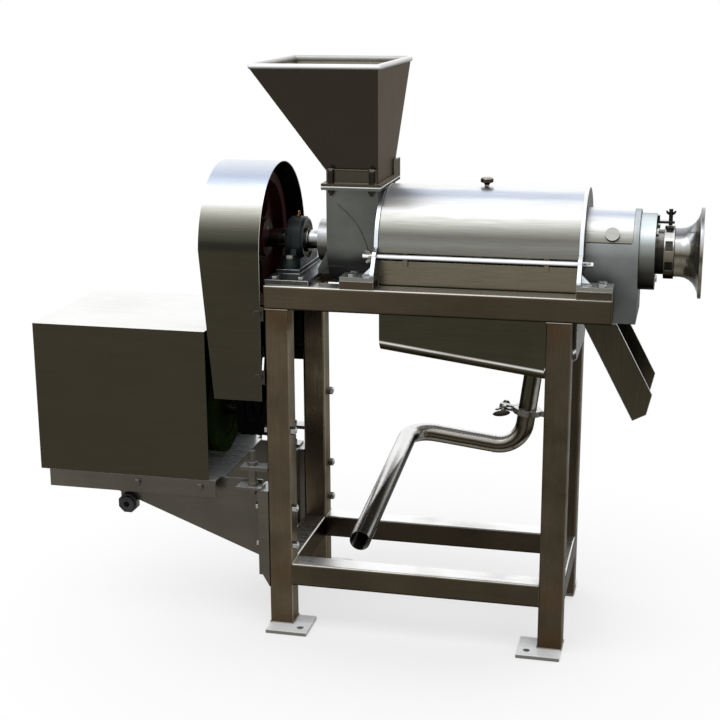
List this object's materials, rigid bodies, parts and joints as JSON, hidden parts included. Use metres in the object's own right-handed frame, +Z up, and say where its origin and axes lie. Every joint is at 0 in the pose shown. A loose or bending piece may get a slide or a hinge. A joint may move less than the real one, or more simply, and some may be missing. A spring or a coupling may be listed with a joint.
{
  "type": "juice extractor",
  "caption": "Single-screw juice extractor on a tube stand, with hopper, hinged strainer cover, pressure wheel, waste chute, drain pipe and belt drive under a guard.",
  "frame": {"origin": "on the floor, at the centre of the four anchor holes in the foot plates", "axes": "+X along the press screw towards the waste end and the longest way over all, +Y away from the working side that the outlet pipe leaves by, +Z up"},
  "size_m": [1.3815, 0.7589, 1.1915],
  "materials": {
    "brushed": "brushed stainless tube and plate",
    "tube_steel": "satin stainless tube, dark reflections",
    "satin": "pale satin stainless plate",
    "polished": "mirror-polished stainless",
    "blasted": "bead-blasted stainless",
    "matt_sheet": "matt grey stainless sheet",
    "cast": "painted cast iron, dark green-black",
    "bearing_steel": "ground bearing steel",
    "zinc_bolt": "plain stainless fasteners",
    "brass": "brass",
    "bronze": "bearing bronze",
    "pulley_paint": "rust-red primer",
    "belt_rubber": "black rubber",
    "seal_rubber": "black seal rubber",
    "white_seal": "white food-grade rubber",
    "motor_paint": "dark green enamel",
    "nut_steel": "turned stainless, dark reflections",
    "black_plastic": "black moulded plastic"
  },
  "bodies": {
    "stand": {"legs": "tube_steel", "top_beams": "tube_steel", "cross_rail": "tube_steel", "lower_rails": "tube_steel", "foot_plates": "satin", "beam_caps": "tube_steel", "bearing_seat": "satin", "bearing_housing": "cast", "bearing_outer_ring": "bearing_steel", "bearing_bolts": "zinc_bolt", "grease_nipple": "brass", "feed_housing": "matt_sheet", "seal_housing": "satin", "shaft_seal": "seal_rubber", "hopper_gasket": "white_seal", "hopper": "brushed", "hopper_rim": "polished", "hopper_studs": "zinc_bolt", "end_plates": "satin", "foot_spacers": "tube_steel", "foot_bolts": "zinc_bolt", "strainer_screen": "brushed", "strainer_cage": "satin", "cover_rods": "polished", "waste_housing": "blasted", "waste_cover": "brushed", "end_ring": "blasted", "end_ring_bolts": "zinc_bolt", "lock_arm": "nut_steel", "waste_chute": "matt_sheet", "juice_trough": "matt_sheet", "clamp_seal": "white_seal", "pipe_clamp": "polished", "belt_guard": "brushed", "v_belts": "belt_rubber", "motor_frame": "motor_paint", "motor_cover": "tube_steel", "motor_bracket": "tube_steel", "bracket_bolts": "zinc_bolt", "cable_gland": "black_plastic"},
    "press_screw": {"main_shaft": "bearing_steel", "bearing_inner_ring": "bearing_steel", "screw_core": "satin", "screw_flight": "satin", "large_pulley": "pulley_paint", "pulley_key": "bearing_steel", "pulley_retainer": "zinc_bolt"},
    "motor_rotor": {"motor_shaft": "bearing_steel", "motor_pulley": "pulley_paint"},
    "cover": {"top_cover": "brushed", "cover_knob": "polished"},
    "left_wing_nut": {"wing_nut_left": "zinc_bolt"},
    "right_wing_nut": {"wing_nut_right": "zinc_bolt"},
    "pressure_slide": {"pressure_cone": "satin", "cone_bush": "bronze"},
    "pressure_handwheel": {"ring_nut": "nut_steel", "pressure_wheel": "nut_steel"},
    "locking_screw": {"lock_screw": "zinc_bolt"},
    "outlet_pipe": {"drain_pipe": "polished"},
    "clamp_nut": {"clamp_wing_nut": "zinc_bolt"}
  },
  "joints": [
    {"name": "screw_turn", "type": "hinge", "parent": "stand", "child": "press_screw", "pos_m": [0, 0, 0.818], "axis": [1, 0, 0], "continuous": true},
    {"name": "motor_turn", "type": "hinge", "parent": "stand", "child": "motor_rotor", "pos_m": [-0.45, 0, 0.432], "axis": [1, 0, 0], "continuous": true},
    {"name": "cover_lift", "type": "hinge", "parent": "stand", "child": "cover", "pos_m": [0.117, 0.1312, 0.811], "axis": [-1, 0, 0], "range_deg": [0, 110]},
    {"name": "left_nut_turn", "type": "hinge", "parent": "stand", "child": "left_wing_nut", "pos_m": [-0.097, -0.1312, 0.811], "axis": [-1, 0, 0], "continuous": true},
    {"name": "right_nut_turn", "type": "hinge", "parent": "stand", "child": "right_wing_nut", "pos_m": [0.331, -0.1312, 0.811], "axis": [1, 0, 0], "continuous": true},
    {"name": "cone_slide", "type": "slide", "parent": "stand", "child": "pressure_slide", "axis": [1, 0, 0], "range_m": [-0.012, 0.008]},
    {"name": "wheel_turn", "type": "hinge", "parent": "pressure_slide", "child": "pressure_handwheel", "pos_m": [0.497, 0, 0.818], "axis": [1, 0, 0], "range_deg": [-1080, 720]},
    {"name": "lock_screw_turn", "type": "hinge", "parent": "stand", "child": "locking_screw", "pos_m": [0.487, 0, 0.888], "axis": [0, 0, 1], "range_deg": [-360, 360]},
    {"name": "outlet_swivel", "type": "hinge", "parent": "stand", "child": "outlet_pipe", "pos_m": [0.21069, 0, 0.46732], "axis": [0.1305, 0, 0.9914], "range_deg": [-15, 30]},
    {"name": "clamp_nut_turn", "type": "hinge", "parent": "stand", "child": "clamp_nut", "pos_m": [0.16323, 0, 0.47458], "axis": [0, -1, 0], "continuous": true}
  ],
  "couplings": [
    {"joint": "motor_turn", "follows": "screw_turn", "ratio": 2.6923},
    {"joint": "cone_slide", "follows": "wheel_turn", "m_per_rad": 0.00063662}
  ]
}
